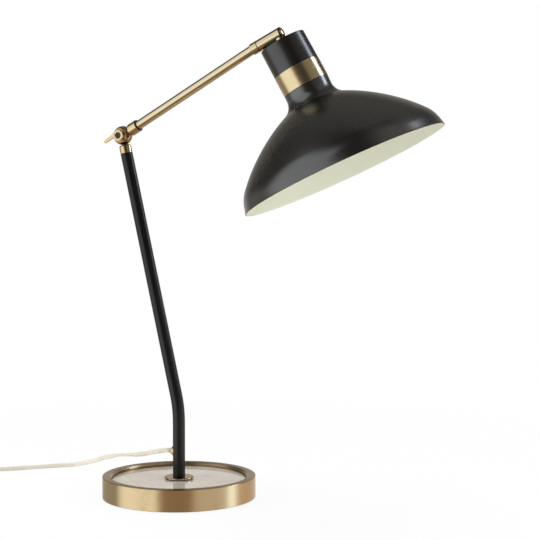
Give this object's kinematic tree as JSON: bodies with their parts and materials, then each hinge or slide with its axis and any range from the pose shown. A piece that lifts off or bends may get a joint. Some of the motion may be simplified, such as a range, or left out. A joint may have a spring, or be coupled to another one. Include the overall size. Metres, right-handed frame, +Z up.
{
  "type": "desk lamp",
  "caption": "Desk lamp with a round brass base, leaning black stem, tilting brass arm and a wide black shade that swivels on the arm's end; flat cord with inline switch and plug.",
  "frame": {"origin": "centre of the base's underside, on the table", "axes": "+Z up, +X from the stem towards the lamp head in the plane of stem and arm, +Y to the left of that"},
  "size_m": [0.757, 0.3102, 0.6039],
  "materials": {
    "rubber": "matt black rubber",
    "iron": "painted cast weight",
    "brass": "brushed antique brass",
    "brass_ball": "polished antique brass",
    "brass_tube": "brushed antique brass tube",
    "brass_band": "brushed brass band",
    "brass_dark": "dark patinated brass",
    "brass_screw": "polished brass",
    "brass_thread": "rolled brass",
    "stone": "polished pale stone",
    "steel": "zinc plated steel",
    "black_coat": "satin black coating",
    "black_trim": "black nylon",
    "black_moulded": "black moulded resin",
    "ceramic": "glazed ceramic",
    "frosted_glass": "frosted bulb glass",
    "wire": "insulated wire",
    "cord": "ivory flat twin lead",
    "ivory_moulded": "moulded ivory plastic",
    "blade_brass": "plain brass"
  },
  "bodies": {
    "base": {"base_pad": "rubber", "base_weight": "iron", "base_ring": "brass", "stone_disc": "stone", "flange_washer": "rubber", "stem_flange": "brass", "stem_spigot": "steel", "foot_washer": "steel", "foot_nut": "steel", "stem_tube": "black_coat", "cord_bush": "brass", "stem_lead": "wire", "stem_ferrule": "brass", "ferrule_washer": "black_trim", "knuckle_lower": "brass_ball", "knuckle_washer": "black_trim", "cord_free": "cord", "switch_base": "ivory_moulded", "switch_cover": "ivory_moulded", "cord_coil": "cord", "coil_tie": "black_trim", "plug_relief": "ivory_moulded", "plug_body": "ivory_moulded", "plug_blades": "blade_brass"},
    "arm": {"knuckle_upper": "brass_ball", "arm_collar": "brass", "collar_ring": "black_trim", "arm_tube": "brass_tube", "arm_lead": "wire", "arm_end_collar": "brass", "swivel_spindle": "steel", "spindle_nut": "steel", "swivel_washer": "black_trim"},
    "head": {"head_barrel": "brass", "barrel_plug": "brass_dark", "barrel_screw": "brass_screw", "head_saddle": "brass", "head_stud": "steel", "cap_washer": "steel", "cap_nut": "steel", "head_cap": "black_coat", "head_band": "brass_band", "holder_dome": "black_moulded", "holder_case": "black_moulded", "holder_block": "ceramic", "holder_sleeve": "brass_thread", "holder_skirt": "black_moulded", "shade_ring": "black_moulded", "shade_plate": "black_moulded", "shade": "black_coat", "bulb_base": "steel", "bulb_glass": "frosted_glass", "head_lead": "wire"},
    "thumbscrew": {"wing_screw": "brass", "screw_insert": "black_trim"},
    "rocker": {"switch_rocker": "ivory_moulded"}
  },
  "joints": [
    {"name": "arm_tilt", "type": "hinge", "parent": "base", "child": "arm", "pos_m": [-0.0868, 0, 0.47267], "axis": [0, -1, 0], "range_deg": [-35, 45]},
    {"name": "head_swivel", "type": "hinge", "parent": "arm", "child": "head", "pos_m": [0.11223, 0, 0.57761], "axis": [0.9063, 0, 0.4226], "range_deg": [-75, 75]},
    {"name": "thumbscrew_turn", "type": "hinge", "parent": "base", "child": "thumbscrew", "pos_m": [-0.0868, 0, 0.47267], "axis": [0, -1, 0], "range_deg": [-20, 150]},
    {"name": "switch_rock", "type": "hinge", "parent": "base", "child": "rocker", "pos_m": [-0.35004, -0.02708, 0.0086], "axis": [-0.7848, 0.6198, 0], "range_deg": [-16, 0]}
  ]
}
